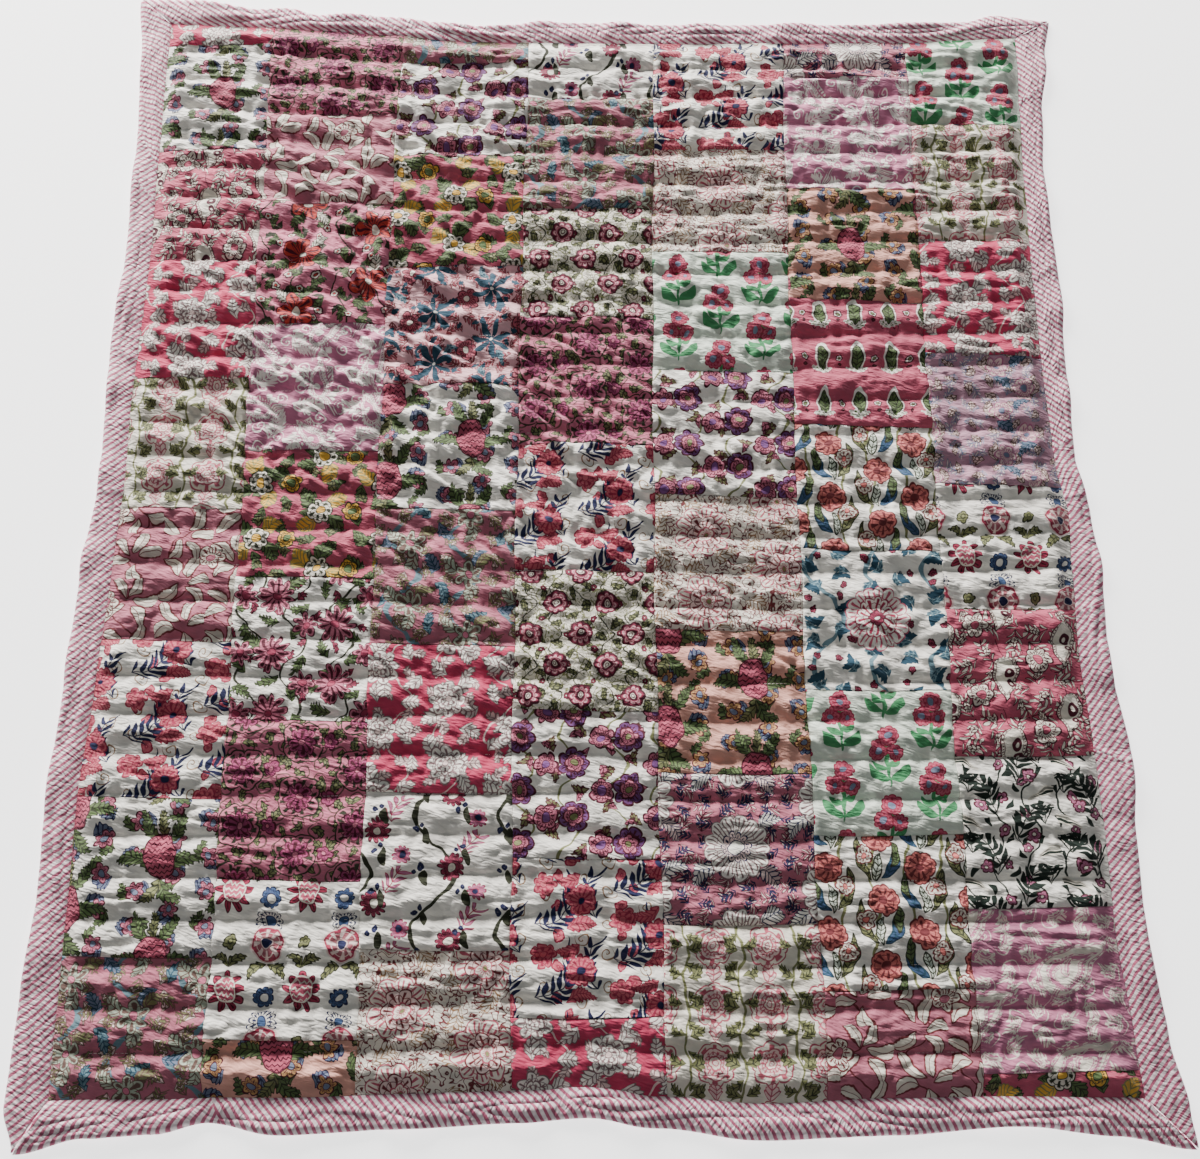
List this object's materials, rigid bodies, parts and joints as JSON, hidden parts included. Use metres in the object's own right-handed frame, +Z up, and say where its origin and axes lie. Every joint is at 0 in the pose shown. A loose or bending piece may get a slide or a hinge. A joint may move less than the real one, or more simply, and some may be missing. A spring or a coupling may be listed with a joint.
{
  "type": "baby quilt",
  "caption": "Patchwork baby quilt lying open, a padded centre quilted in rows across its width, with a wide mitred border of striped cotton.",
  "frame": {"origin": "on the floor, under the middle of the quilt's overall outline", "axes": "+X across the quilt, along its quilting rows, +Y along its length, +Z up"},
  "size_m": [1.056, 1.2139, 0.0117],
  "materials": {
    "patchwork_cotton": "matt block-printed cotton",
    "striped_cotton": "matt striped cotton"
  },
  "bodies": {
    "root": {"quilt_centre": "patchwork_cotton", "border_left": "striped_cotton", "border_right": "striped_cotton", "border_bottom": "striped_cotton", "border_top": "striped_cotton"}
  },
  "joints": []
}
